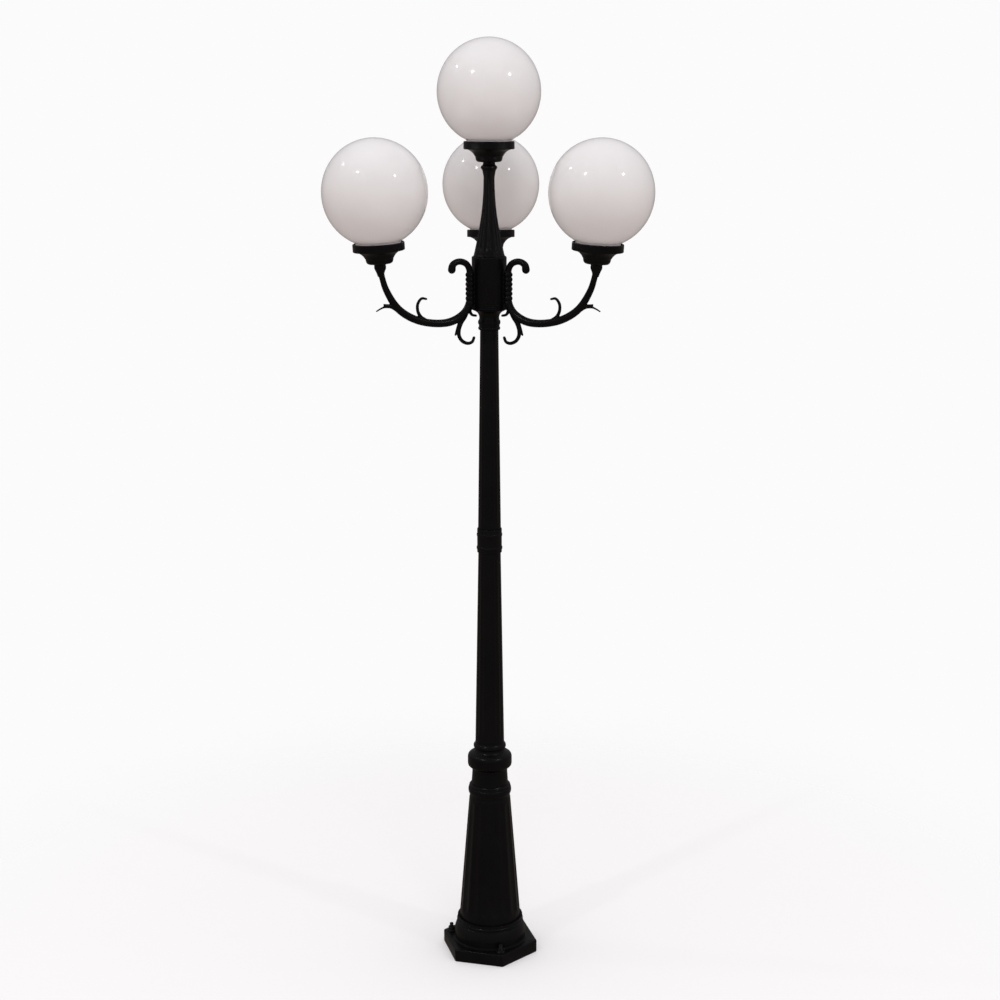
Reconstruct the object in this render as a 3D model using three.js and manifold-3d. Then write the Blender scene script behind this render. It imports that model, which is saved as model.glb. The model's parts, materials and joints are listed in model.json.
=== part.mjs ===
// A cast lamp post for a street or garden: a six-sided foot, a tapering post, three scrolled arms
// and a top stem, each carrying an opal globe. Millimetres, +Z up, with the origin on the ground
// at the axis of the post. The third arm points along +Y.
import * as THREE from "three";
import { mergeVertices } from "three/addons/utils/BufferGeometryUtils.js";
import Module from "manifold-3d";

const wasm = await Module();
wasm.setup();

// ---- driving dimensions ----
const GAP = 0.35; // between two pieces that touch
const ROUND = 16; // facets round a turned piece
const FINE = 24; // facets round the hub, whose corners line up with the arms
const TURN = Math.PI / 180; // one degree

const FOOT_RADIUS = 153; // to a corner of the six-sided foot
const FOOT_HEIGHT = 39;
const FOOT_WALL = 10;
const FOOT_TURN = -14.3 * TURN; // angle of the foot's first corner
const BOLT_CIRCLE = 127; // radius of the anchor bolts
const BOLT_RADIUS = 6;
const BASE_TOP = 553; // where the base casting ends
const COLLAR_TOP = 690;
const LOWER_TOP = 1293;
const COUPLING_TOP = 1367;
const UPPER_TOP = 1968;
const HUB_BOTTOM = 2030;
const HUB_TOP = 2184;
const HUB_RADIUS = 51.5;
const HUB_BORE = 45;
const HUB_FLOOR = 2038; // top of the hub's floor
const HUB_SPIGOT = 12; // bore of the spigot under the hub's floor
const TOP_FOOT = 2455; // underside of the top lamp's fitter

const ARM_TURNS = [-30 * TURN, 210 * TURN, 90 * TURN];
const STEM_OUT = 64.5; // distance of an arm's upright stem from the post's axis
const LAMP_OUT = 354.5; // distance of an arm's lamp from the post's axis, at its foot
const LAMP_HEIGHT = 2177; // underside of an arm's fitter
const LEAN = 3.8 * TURN; // outward lean of the arm lamps
const LEAD_HEIGHT = 2096; // where a lead leaves the hub
const LEAD_RADIUS = 2.4;
const ARM_BORE = 4.6;
const ARM_SCREW_HEIGHTS = [2060, 2134];
const PAD_BOTTOM = HUB_BOTTOM + 1; // the root of an arm, where it meets the hub
const PAD_TOP = 2146;

const FITTER_HEIGHT = 60;
const FITTER_RADIUS = 74;
const RIM_BORE = 70; // clear of the globe
const LEDGE = 39.5; // height of the seat inside the fitter
const GLOBE_RADIUS = 150;
const GLOBE_HALF_HEIGHT = 152.5;
const GLOBE_WALL = 3;
const GLOBE_CENTRE = 200; // above the underside of the fitter
const NECK_RADIUS = 65;
const NECK_BOTTOM = 42;
const NIPPLE_RADIUS = 5;
const NIPPLE_DEPTH = 25;

// ---- materials ----
const black = { color: 0x0b0b0c, roughness: 0.38, metalness: 0.3 };
const opal = { color: 0xeeeae8, roughness: 0.15, metalness: 0 };
const rubber = { color: 0x1a1a1a, roughness: 0.9, metalness: 0 };
const zinc = { color: 0xa9adb0, roughness: 0.4, metalness: 0.9 };
const ceramic = { color: 0xf1efe8, roughness: 0.35, metalness: 0 };
const frosted = { color: 0xf7f5ee, roughness: 0.5, metalness: 0 };
const sheath = { color: 0x303236, roughness: 0.6, metalness: 0 };
const moulding = { color: 0xd8d6cc, roughness: 0.5, metalness: 0 };

// ---- shapes ----

// A closed three.js geometry as a solid, with its faces turned outwards.
function solid(geometry) {
  const bare = new THREE.BufferGeometry();
  bare.setAttribute("position", geometry.getAttribute("position"));
  bare.setIndex(geometry.getIndex());
  const merged = mergeVertices(bare, 1e-3);
  const place = merged.getAttribute("position");
  const corners = merged.getIndex();
  const kept = [];
  const [a, b, c] = [new THREE.Vector3(), new THREE.Vector3(), new THREE.Vector3()];
  let volume = 0;
  for (let i = 0; i < corners.count; i += 3) {
    const [p, q, r] = [corners.getX(i), corners.getX(i + 1), corners.getX(i + 2)];
    if (p === q || q === r || r === p) continue;
    kept.push(p, q, r);
    a.fromBufferAttribute(place, p);
    b.fromBufferAttribute(place, q);
    c.fromBufferAttribute(place, r);
    volume += a.dot(b.cross(c));
  }
  if (volume < 0) kept.reverse();
  const vertProperties = Float32Array.from(place.array);
  const triVerts = Uint32Array.from(kept);
  return new wasm.Manifold(new wasm.Mesh({ numProp: 3, vertProperties, triVerts }));
}

function join(...solids) {
  return solids.reduce((whole, piece) => whole.add(piece));
}

function cut(whole, ...tools) {
  return tools.reduce((left, tool) => left.subtract(tool), whole);
}

// An outline of [radius, height] points turned about Z. It starts and ends on the axis,
// or it closes on itself.
function turnedShape(outline, facets = ROUND) {
  const points = outline.map(([radius, height]) => new THREE.Vector2(radius, height));
  if (outline[0][0] > 0) points.push(points[0].clone());
  return new THREE.LatheGeometry(points, facets).rotateX(Math.PI / 2);
}

function turned(outline, facets = ROUND) {
  return solid(turnedShape(outline, facets));
}

function rodShape(radius, bottom, top, facets = 8) {
  return turnedShape([[0, bottom], [radius, bottom], [radius, top], [0, top]], facets);
}

function rod(radius, bottom, top, facets = 8) {
  return solid(rodShape(radius, bottom, top, facets));
}

// A rod along a radius of the post, at one height and angle.
function spoke(radius, inner, outer, height, angle = 0, facets = 8) {
  return solid(rodShape(radius, inner, outer, facets)
    .rotateY(Math.PI / 2)
    .translate(0, 0, height)
    .rotateZ(angle));
}

function ring(inner, outer, bottom, top, facets = ROUND) {
  return turned([[inner, bottom], [outer, bottom], [outer, top], [inner, top]], facets);
}

function block(width, depth, height, x, y, z) {
  return solid(new THREE.BoxGeometry(width, depth, height).translate(x, y, z));
}

// A tapering bar that bends in the XZ plane through [x, z, radius] stations.
function bar(stations, steps, sides) {
  const points = stations.map(([x, z, radius]) => new THREE.Vector3(x, radius, z));
  const spine = new THREE.CatmullRomCurve3(points, false, "centripetal");
  const shape = new THREE.CylinderGeometry(1, 1, 1, sides, steps);
  const place = shape.getAttribute("position");
  for (let i = 0; i < place.count; i += 1) {
    const along = place.getY(i) + 0.5;
    const here = spine.getPointAt(along);
    const heading = spine.getTangentAt(along).setY(0).normalize();
    const across = here.y * place.getX(i);
    const sideways = here.y * place.getZ(i);
    place.setXYZ(i, here.x - heading.z * across, sideways, here.z + heading.x * across);
  }
  return solid(shape);
}

function ball(radius, x, z) {
  return solid(new THREE.SphereGeometry(radius, 8, 6).rotateX(Math.PI / 2).translate(x, 0, z));
}

function node(name, body, finish) {
  const { vertProperties, triVerts } = body.getMesh();
  const geometry = new THREE.BufferGeometry();
  geometry.setAttribute("position", new THREE.BufferAttribute(vertProperties, 3));
  geometry.setIndex(new THREE.BufferAttribute(triVerts, 1));
  const mesh = new THREE.Mesh(geometry, new THREE.MeshStandardMaterial(finish));
  mesh.name = name;
  return mesh;
}

// ---- the foot and the post ----

const BOLT_TURNS = [1, 3, 5].map((corner) => FOOT_TURN + corner * 60 * TURN);

function sixSided(radius, bottom, top) {
  return solid(rodShape(radius, bottom, top, 6).rotateZ(FOOT_TURN + Math.PI / 2));
}

function atBolts(shape) {
  return BOLT_TURNS.map((angle) => solid(shape().translate(BOLT_CIRCLE, 0, 0).rotateZ(angle)));
}

const SKIRT_BORE = 103;
const BASE_SOCKET = 48; // radius of the socket that the neck collar stands in
const SOCKET_BOTTOM = 520;
const WEB_HEIGHT = 12;

// The foot, the skirt and the cone are one hollow casting, open underneath.
function baseCasting() {
  const rim = sixSided(FOOT_RADIUS, 0, FOOT_HEIGHT);
  const hollow = sixSided(FOOT_RADIUS - FOOT_WALL, -1, FOOT_HEIGHT - FOOT_WALL);
  const opening = rod(SKIRT_BORE, -1, FOOT_HEIGHT + 1, ROUND);
  const cone = turned([
    [SKIRT_BORE, FOOT_HEIGHT - FOOT_WALL], [112, FOOT_HEIGHT - FOOT_WALL], [111.5, 60], [108.5, 77],
    [102.5, 92], [101, 94], [104.3, 98], [104.3, 103], [102.3, 112], [96.5, 109], [94.3, 130],
    [63.9, 507],
    [63.2, 522], [66, 527], [66, 539], [63.5, 547], [58.5, BASE_TOP], [BASE_SOCKET, BASE_TOP],
    [BASE_SOCKET, SOCKET_BOTTOM], [56, 500], [86.5, 130], [95, 96],
  ]);
  const bosses = atBolts(() => rodShape(15, 0, FOOT_HEIGHT - 1, 12));
  const webs = BOLT_TURNS.map((angle) => solid(
    new THREE.BoxGeometry(BOLT_CIRCLE, 12, WEB_HEIGHT)
      .translate(BOLT_CIRCLE / 2, 0, WEB_HEIGHT / 2)
      .rotateZ(angle),
  ));
  const centre = rod(24, 0, WEB_HEIGHT, 12);
  const boltHoles = atBolts(() => rodShape(BOLT_RADIUS + 1, -1, FOOT_HEIGHT + 1, 12));
  const tapping = rod(3.3, 2, WEB_HEIGHT + 1, 8);
  const shell = join(cut(rim, hollow, opening), cone);
  return cut(join(shell, ...bosses, ...webs, centre), ...boltHoles, tapping);
}

// The threaded ends that stand out of the foundation.
function anchorBoltShape() {
  return rodShape(BOLT_RADIUS, 1, 64, 8);
}

// A nut with its own flange.
function flangeNutShape() {
  const inner = BOLT_RADIUS + 0.6;
  const bottom = FOOT_HEIGHT + GAP;
  return turnedShape([
    [inner, bottom], [13, bottom], [13, bottom + 2.5], [11, bottom + 3.5], [11, bottom + 13],
    [inner, bottom + 13],
  ], 12);
}

// A neck, a bulb and a waist, standing in the base casting.
function neckCollar() {
  return turned([
    [BASE_SOCKET - 0.5, SOCKET_BOTTOM + 3], [BASE_SOCKET - 0.5, BASE_TOP + GAP],
    [58.5, BASE_TOP + GAP], [56.4, 561], [54, 599], [56, 605], [63.5, 610], [67.6, 616], [68.3, 621],
    [68.3, 640], [66, 648], [61, 653], [49.5, 659], [46.8, 665], [50, 677], [45, COLLAR_TOP],
    [41, COLLAR_TOP], [41, SOCKET_BOTTOM + 3],
  ]);
}

function lowerShaft() {
  return turned([
    [40.5, 650], [40.5, COLLAR_TOP + GAP], [44.6, COLLAR_TOP + GAP], [34, 1292],
    [34, LOWER_TOP], [28, LOWER_TOP], [28, 1262], [35, 700], [35, 650],
  ]);
}

// A short sleeve with beads, which joins the two lengths of shaft.
function shaftCoupling() {
  return turned([
    [27.5, 1270], [27.5, LOWER_TOP + GAP], [37.4, LOWER_TOP + GAP], [37.4, 1301], [39, 1307],
    [37.4, 1313], [37.4, 1342], [38.8, 1347.5], [37.4, 1353], [37.2, COUPLING_TOP],
    [26.5, COUPLING_TOP], [26.5, 1310], [23, 1305], [23, 1270],
  ]);
}

function upperShaft() {
  return turned([
    [26, 1322], [26, COUPLING_TOP + GAP], [34.6, COUPLING_TOP + GAP], [27.5, 1929],
    [27.2, UPPER_TOP], [21, UPPER_TOP], [21, 1322],
  ]);
}

// A stack of beads that opens out under the hub.
function headCollar() {
  return turned([
    [20.5, 1945], [20.5, UPPER_TOP + GAP], [29, UPPER_TOP + GAP], [32.5, 1974], [30.7, 1983],
    [32.7, 1992], [29.8, 2001], [29.5, 2008], [32, 2015], [37, 2021], [44, 2026],
    [50, HUB_BOTTOM - 2], [50, HUB_BOTTOM], [16, HUB_BOTTOM], [16, 1945],
  ]);
}

// The three arms are bolted to this drum from inside, and their leads leave it.
function hub() {
  const drum = turned([
    [15.5, 1996], [15.5, HUB_BOTTOM + GAP], [50.6, HUB_BOTTOM + GAP], [HUB_RADIUS, HUB_BOTTOM + 5],
    [HUB_RADIUS, HUB_TOP - 3], [HUB_RADIUS - 2, HUB_TOP], [HUB_BORE, HUB_TOP],
    [HUB_BORE, HUB_FLOOR], [HUB_SPIGOT, HUB_FLOOR], [HUB_SPIGOT, 1996],
  ], FINE);
  const holes = ARM_TURNS.flatMap((angle) => [
    spoke(6, 40, 60, LEAD_HEIGHT, angle),
    ...ARM_SCREW_HEIGHTS.map((height) => spoke(3.5, 40, 60, height, angle)),
  ]);
  return cut(drum, ...holes);
}

// The trumpet that carries the top lamp.
function topStem() {
  return turned([
    [HUB_BORE - 0.7, HUB_TOP - 12], [HUB_BORE - 0.7, HUB_TOP + GAP], [47, HUB_TOP + GAP],
    [44.8, 2189], [40.8, 2207], [28, 2272], [19, 2340], [16.6, 2376], [16, 2410], [18, 2427],
    [24.2, 2440], [18.2, 2448.5], [17.5, TOP_FOOT - GAP], [NIPPLE_RADIUS + 0.5, TOP_FOOT - GAP],
    [NIPPLE_RADIUS + 0.5, TOP_FOOT - NIPPLE_DEPTH - 2], [11, 2410], [13, 2340], [22, 2272],
    [40, 2188], [40, HUB_TOP - 12],
  ]);
}

// ---- an arm, in the plane of X (outwards) and Z ----

// A point on the axis of an arm's lamp, as [x, z], at a height above the fitter's underside.
function onLampAxis(height) {
  return [LAMP_OUT + height * Math.sin(LEAN), LAMP_HEIGHT + height * Math.cos(LEAN)];
}

const CONNECTOR_RADIUS = 15;
const CONNECTOR_HALF = 13;

// The sweep from the foot of the stem to the lamp, shared by the arm, its bore and its lead.
const SWEEP = [[79, 2027], [118, 2002.5], [166, 1996.7], [240, 2011], [298, 2046], [334.8, 2100]];

function along(points, radius) {
  return points.map(([x, z]) => [x, z, radius]);
}

// From the connector in the hub, through the arm and up into the lampholder.
function leadRoute(radius) {
  return bar(along([
    [CONNECTOR_RADIUS + GAP, LEAD_HEIGHT], [46, LEAD_HEIGHT], [57, 2093], [63, 2082],
    [STEM_OUT, 2064], ...SWEEP, [346.5, 2134], onLampAxis(-25), onLampAxis(-10), onLampAxis(22),
  ], radius), 24, 6);
}

// The thicker stretch of the stem, which the rings stand round.
function armSleeve() {
  return solid(rodShape(12.4, 2044, 2140, 8).translate(STEM_OUT, 0, 0));
}

function armScrolls() {
  const lowerHook = [
    [72, 2034, 8], [82, 2011, 6.6], [94, 1994, 6.2], [101.5, 1974, 6], [101, 1956, 5.8],
    [90, 1940, 5.4], [71, 1932.5, 5], [57, 1936.5, 4.6], [51.5, 1948, 4],
  ];
  const innerCurl = [[67, 2036, 6.5], [64, 2024, 5.2], [57, 2015.5, 4.2], [44.5, 2012.5, 3.4]];
  const hookThorn = [[100, 1992, 5], [106, 1977, 4.6], [113.5, 1959, 2.6]];
  const innerHook = [
    [212, 2008, 7], [226, 2019, 5.6], [235.5, 2036, 4.8], [235.5, 2057, 4.5], [223, 2072, 4],
    [208, 2070, 3.4],
  ];
  const leaf = [
    [300, 2044, 8], [315, 2052, 6.4], [331, 2055.5, 5.4], [344, 2055.5, 4.4], [367, 2043.5, 2.2],
  ];
  return join(
    bar(lowerHook, 9, 6), bar(innerCurl, 4, 6), bar(hookThorn, 2, 6), bar(innerHook, 7, 6),
    bar(leaf, 5, 6),
  );
}

// A cup at the end of the arm, which the fitter sits on.
function armCup() {
  const [x, z] = onLampAxis(0);
  return solid(turnedShape([
    [0, -38], [8.8, -36], [10.2, -30], [13.5, -21], [17, -12], [17, -GAP], [0, -GAP],
  ], 12).rotateY(LEAN).translate(x, 0, z));
}

function arm() {
  const cane = [
    [124, 2150, 11.7], [121, 2163, 10.4], [108, 2171.5, 9.5], [92, 2172, 9.5], [75, 2164, 9.5],
    [66, 2148, 9.5],
  ];
  const sweep = SWEEP.map(([x, z], i) => [x, z, [11.5, 12, 11.4, 11.2, 11, 9.5][i]]);
  const [endX, endZ] = onLampAxis(-14);
  const spine = [
    ...cane, [STEM_OUT, 2125, 9.5], [STEM_OUT, 2064, 9.5], ...sweep, [347, 2134, 8.8],
    [endX, endZ, 9],
  ];
  const pad = block(20, 20, PAD_TOP - PAD_BOTTOM, STEM_OUT - 10, 0, (PAD_TOP + PAD_BOTTOM) / 2);
  const body = join(bar(spine, 30, 8), ball(11.7, 124, 2150), armSleeve(), armScrolls(), armCup());
  const [x, z] = onLampAxis(0);
  const socket = solid(rodShape(NIPPLE_RADIUS + 0.5, -NIPPLE_DEPTH - 2, 1, 8)
    .rotateY(LEAN).translate(x, 0, z));
  return cut(
    join(body, pad),
    rod(HUB_RADIUS + 0.5, HUB_BOTTOM - 3, HUB_TOP, FINE),
    leadRoute(ARM_BORE),
    socket,
    ...ARM_SCREW_HEIGHTS.map((height) => spoke(3.5, 46, 58.6, height)),
  );
}

function armScrew(height) {
  return join(spoke(5.2, 40, 44, height, 0, 6), spoke(3, 43, 58, height));
}

// ---- a lamp, upright on its own axis with Z at 0 on the fitter's underside ----

function fitter() {
  return turned([
    [29, 0], [36, 3], [40.5, 13], [44, 20.5], [50, 29], [58, 34.5], [FITTER_RADIUS, 37],
    [FITTER_RADIUS, FITTER_HEIGHT], [RIM_BORE, FITTER_HEIGHT], [RIM_BORE, LEDGE], [58, LEDGE],
    [52, 35], [43, 25], [32, 6], [NIPPLE_RADIUS + 0.5, 6], [NIPPLE_RADIUS + 0.5, 0],
  ]);
}

// An egg-round shell with a straight neck, open at the bottom.
function globe() {
  const bands = 4;
  const mouth = Math.acos(NECK_RADIUS / GLOBE_RADIUS);
  const outer = [[0, GLOBE_CENTRE + GLOBE_HALF_HEIGHT]];
  const inner = [[0, GLOBE_CENTRE + GLOBE_HALF_HEIGHT - GLOBE_WALL]];
  for (let band = 1; band <= 2 * bands; band += 1) {
    const above = (Math.PI / 2) * (1 - band / bands);
    const rise = band <= bands ? above : -mouth * (band / bands - 1);
    for (const [line, wall] of [[outer, 0], [inner, GLOBE_WALL]]) {
      line.push([
        (GLOBE_RADIUS - wall) * Math.cos(rise),
        GLOBE_CENTRE + (GLOBE_HALF_HEIGHT - wall) * Math.sin(rise),
      ]);
    }
  }
  const bore = NECK_RADIUS - GLOBE_WALL - 1;
  return turned([...outer, [NECK_RADIUS, NECK_BOTTOM], [bore, NECK_BOTTOM], ...inner.reverse()]);
}

function gasket() {
  return ring(59.5, 69, LEDGE + GAP, NECK_BOTTOM - GAP);
}

function nipple() {
  return ring(3.2, NIPPLE_RADIUS, -NIPPLE_DEPTH, 21, 8);
}

function lockNut() {
  return ring(NIPPLE_RADIUS + 1.2, 9.5, 6 + GAP, 11, 6);
}

// A ceramic holder with a blind socket for the lamp's cap.
function lampholder() {
  return turned([
    [NIPPLE_RADIUS + 0.5, 12], [14, 12], [15, 22], [20, 28], [20, 56], [21.5, 58], [21.5, 63],
    [13.8, 63], [13.8, 33], [4, 33], [4, 24], [NIPPLE_RADIUS + 0.5, 24],
  ], 12);
}

function lamp() {
  return turned([
    [0, 34], [8, 34.5], [13.2, 38], [13.2, 63.5], [16, 67], [22, 82], [30, 104], [29, 120],
    [20, 136], [0, 142],
  ], 12);
}

const lampPieces = [
  ["fitter", fitter, black], ["globe", globe, opal], ["globe_gasket", gasket, rubber],
  ["nipple", nipple, zinc], ["lock_nut", lockNut, zinc], ["lampholder", lampholder, ceramic],
  ["lamp", lamp, frosted],
];

function lampGroup(number) {
  const group = new THREE.Group();
  for (const [name, make, finish] of lampPieces) {
    group.add(node(`${name}_${number}`, make(), finish));
  }
  return group;
}

// ---- wiring ----

const TERMINAL_TOP = 330;
const TERMINAL_HEIGHT = 52;
const TERMINAL_WIDTH = 34;
const BRACKET_FACE = 12; // the bracket's upright stands this far behind the axis

function gearBracket() {
  const sole = block(30, 34, 3, 0, 0, WEB_HEIGHT + GAP + 1.5);
  const upright = block(30, 3, TERMINAL_TOP - WEB_HEIGHT - GAP, 0, BRACKET_FACE + 1.5,
    (TERMINAL_TOP + WEB_HEIGHT + GAP) / 2);
  return cut(join(sole, upright), rod(3.5, WEB_HEIGHT, WEB_HEIGHT + 5));
}

function bracketScrew() {
  const head = WEB_HEIGHT + 3 + 2 * GAP;
  return turned([[0, 4], [2.9, 4], [2.9, head], [6, head], [6, head + 4], [0, head + 4]], 6);
}

function terminalBlock() {
  const depth = 2 * BRACKET_FACE - 3;
  const body = block(TERMINAL_WIDTH, depth, TERMINAL_HEIGHT, 0,
    BRACKET_FACE - GAP - depth / 2, TERMINAL_TOP - TERMINAL_HEIGHT / 2);
  const wells = [-11, 0, 11].map((x) => solid(
    rodShape(3.2, 0, 8, 8).rotateX(-Math.PI / 2)
      .translate(x, BRACKET_FACE - depth - 1, TERMINAL_TOP - TERMINAL_HEIGHT / 2),
  ));
  return cut(body, ...wells);
}

function hubConnector() {
  return rod(CONNECTOR_RADIUS, LEAD_HEIGHT - CONNECTOR_HALF, LEAD_HEIGHT + CONNECTOR_HALF, 12);
}

// ---- the whole lamp post ----

const lampPost = new THREE.Group();

lampPost.add(
  node("base_casting", baseCasting(), black),
  node("neck_collar", neckCollar(), black),
  node("lower_shaft", lowerShaft(), black),
  node("shaft_coupling", shaftCoupling(), black),
  node("upper_shaft", upperShaft(), black),
  node("head_collar", headCollar(), black),
  node("hub", hub(), black),
  node("top_stem", topStem(), black),
  node("gear_bracket", gearBracket(), zinc),
  node("bracket_screw", bracketScrew(), zinc),
  node("terminal_block", terminalBlock(), moulding),
  node("post_cable", rod(5, TERMINAL_TOP + GAP, LEAD_HEIGHT - CONNECTOR_HALF - GAP, 8), sheath),
  node("hub_connector", hubConnector(), moulding),
  node("lead_4", rod(LEAD_RADIUS, LEAD_HEIGHT + CONNECTOR_HALF + GAP, TOP_FOOT + 22, 6), sheath),
);

const bolts = atBolts(anchorBoltShape);
const nuts = atBolts(flangeNutShape);
bolts.forEach((bolt, i) => {
  lampPost.add(node(`anchor_bolt_${i + 1}`, bolt, zinc), node(`anchor_nut_${i + 1}`, nuts[i], zinc));
});

ARM_TURNS.forEach((angle, i) => {
  const armGroup = new THREE.Group();
  armGroup.rotation.z = angle;
  armGroup.add(
    node(`arm_${i + 1}`, arm(), black),
    node(`lead_${i + 1}`, leadRoute(LEAD_RADIUS), sheath),
    ...ARM_SCREW_HEIGHTS.map((height, j) => (
      node(`arm_screw_${i + 1}_${"ab"[j]}`, armScrew(height), zinc)
    )),
  );
  const lampUnit = lampGroup(i + 1);
  lampUnit.position.set(LAMP_OUT, 0, LAMP_HEIGHT);
  lampUnit.rotation.set(0, LEAN, -angle);
  armGroup.add(lampUnit);
  lampPost.add(armGroup);
});

const topLamp = lampGroup(4);
topLamp.position.z = TOP_FOOT;
lampPost.add(topLamp);

export default lampPost;
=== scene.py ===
"""Looks of a cast lamp post: a six-sided foot, a fluted post, three scrolled arms and opal globes.

Outlines are in millimetres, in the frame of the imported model; meshes are in metres.
"""

import json
import math

import bmesh
import bpy
from mathutils import Matrix, Vector


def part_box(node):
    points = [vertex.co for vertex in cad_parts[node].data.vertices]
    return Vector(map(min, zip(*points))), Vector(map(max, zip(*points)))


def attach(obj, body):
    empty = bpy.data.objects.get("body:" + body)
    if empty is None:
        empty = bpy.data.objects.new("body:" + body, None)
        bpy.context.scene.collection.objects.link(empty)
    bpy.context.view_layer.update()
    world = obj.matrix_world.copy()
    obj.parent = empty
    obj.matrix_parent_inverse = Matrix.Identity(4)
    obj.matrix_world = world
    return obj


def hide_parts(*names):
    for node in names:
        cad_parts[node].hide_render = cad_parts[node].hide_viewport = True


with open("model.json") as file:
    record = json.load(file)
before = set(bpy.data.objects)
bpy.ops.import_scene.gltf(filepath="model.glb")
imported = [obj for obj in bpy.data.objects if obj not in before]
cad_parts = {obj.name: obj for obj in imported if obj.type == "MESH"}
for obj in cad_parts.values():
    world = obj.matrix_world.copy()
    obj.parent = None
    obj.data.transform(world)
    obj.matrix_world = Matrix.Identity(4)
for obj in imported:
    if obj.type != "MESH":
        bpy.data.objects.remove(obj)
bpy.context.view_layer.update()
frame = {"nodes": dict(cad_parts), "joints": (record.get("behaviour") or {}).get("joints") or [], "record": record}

MM = 0.001
RECORD = frame["record"]
POST = "post"

# ---- places, from the frame ----


def low(node):
    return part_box(node)[0] / MM


def high(node):
    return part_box(node)[1] / MM


JOINTS = {joint["name"]: joint for joint in frame["joints"]}
LAMP_AXES = {i: Vector(JOINTS[f"globe_{i}_lift"]["axis"]) for i in (1, 2, 3, 4)}
LAMP_SOCKETS = {i: Vector(JOINTS[f"lamp_{i}_unscrew"]["pos_m"]) for i in (1, 2, 3, 4)}
SOCKET_RISE = 34 * MM  # of the lamp's cap above the underside of its fitter
ARM_TURNS = {i: math.atan2(LAMP_SOCKETS[i].y, LAMP_SOCKETS[i].x) for i in (1, 2, 3)}
FOOT_TURN = math.radians(-14.3)  # of a corner of the foot from +X
BOLT_CENTRES = {i: (low(f"anchor_bolt_{i}") + high(f"anchor_bolt_{i}")) / 2 for i in (1, 2, 3)}


def lamp_frame(i):
    """Puts a shape drawn upright on the underside of a fitter where lamp i stands."""
    axis = LAMP_AXES[i].normalized()
    foot = LAMP_SOCKETS[i] - axis * SOCKET_RISE
    return Matrix.Translation(foot) @ axis.to_track_quat("Z", "Y").to_matrix().to_4x4()


def arm_frame(i):
    return Matrix.Rotation(ARM_TURNS[i], 4, "Z")


# ---- camera ----

CAMERA_DISTANCE = 5.351
CAMERA_HEIGHT = 2.631
CAMERA_ROUND = math.radians(0.87)  # round the post from the view along +Y
CAMERA_PITCH = math.radians(12.41)  # downwards
CAMERA_YAW = math.radians(-0.34)  # off the post
FOCAL_LENGTH = 65.46  # in millimetres, like the sensor's width
SENSOR_WIDTH = 36


def make_camera():
    data = bpy.data.cameras.new("camera")
    data.lens = FOCAL_LENGTH
    data.sensor_width = SENSOR_WIDTH
    camera = bpy.data.objects.new("camera", data)
    bpy.context.scene.collection.objects.link(camera)
    camera.location = (
        CAMERA_DISTANCE * math.sin(CAMERA_ROUND),
        -CAMERA_DISTANCE * math.cos(CAMERA_ROUND),
        CAMERA_HEIGHT,
    )
    camera.rotation_euler = (math.pi / 2 - CAMERA_PITCH, 0, CAMERA_ROUND + CAMERA_YAW)
    bpy.context.scene.camera = camera


make_camera()

# ---- materials ----

NOISE_LOW, NOISE_HIGH = 0.3, 0.7  # nearly all of a noise lies between these


def add_node(nodes, kind, **values):
    """A new node with some of its sockets set, a space in a socket's name written as _."""
    node = nodes.new(kind)
    for socket, value in values.items():
        node.inputs[socket.replace("_", " ")].default_value = value
    return node


class Shader:
    """A node material with a Principled shader, built link by link."""

    def __init__(self, name, **values):
        self.material = bpy.data.materials.new(name)
        self.material.use_nodes = True
        self.nodes = self.material.node_tree.nodes
        self.links = self.material.node_tree.links
        self.surface = self.nodes["Principled BSDF"]
        for socket, value in values.items():
            self.surface.inputs[socket.replace("_", " ")].default_value = value
        self.coordinates = self.nodes.new("ShaderNodeTexCoord").outputs["Object"]

    def noise(self, scale, detail=3.0, roughness=0.5, stretch=(1, 1, 1)):
        mapping = add_node(self.nodes, "ShaderNodeMapping", Scale=stretch)
        self.links.new(self.coordinates, mapping.inputs["Vector"])
        noise = add_node(
            self.nodes, "ShaderNodeTexNoise", Scale=scale, Detail=detail, Roughness=roughness
        )
        self.links.new(mapping.outputs["Vector"], noise.inputs["Vector"])
        return noise.outputs["Fac"]

    def colour(self, noise, *stops):
        """The colour follows a noise. Each stop is a place on it with a colour."""
        ramp = self.nodes.new("ShaderNodeValToRGB")
        for element, (position, colour) in zip(ramp.color_ramp.elements, stops):
            element.position = position
            element.color = (*colour, 1)
        self.links.new(noise, ramp.inputs["Fac"])
        self.links.new(ramp.outputs["Color"], self.surface.inputs["Base Color"])

    def roughness(self, noise, least, most):
        """The roughness follows a noise, between two values."""
        span = add_node(
            self.nodes, "ShaderNodeMapRange",
            From_Min=NOISE_LOW, From_Max=NOISE_HIGH, To_Min=least, To_Max=most,
        )
        self.links.new(noise, span.inputs["Value"])
        self.links.new(span.outputs["Result"], self.surface.inputs["Roughness"])

    def bump(self, *layers):
        """Each layer is a height with its depth in metres."""
        normal = None
        for height, depth in layers:
            node = add_node(self.nodes, "ShaderNodeBump", Distance=depth)
            self.links.new(height, node.inputs["Height"])
            if normal:
                self.links.new(normal, node.inputs["Normal"])
            normal = node.outputs["Normal"]
        self.links.new(normal, self.surface.inputs["Normal"])


def powder_coat():
    """Black satin powder coat on a sand casting: orange peel, faint waviness, a little dust."""
    shader = Shader("powder_coat", Specular_IOR_Level=0.25)
    dust = shader.noise(9, 5, 0.6, stretch=(1, 1, 0.5))
    shader.colour(dust, (0.35, (0.0013, 0.0013, 0.0015)), (0.75, (0.0028, 0.0027, 0.0028)))
    shader.roughness(shader.noise(26, 4, 0.55), 0.26, 0.38)
    shader.bump((shader.noise(34, 2), 0.0005), (shader.noise(620, 2), 0.00006))
    return shader.material


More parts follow.
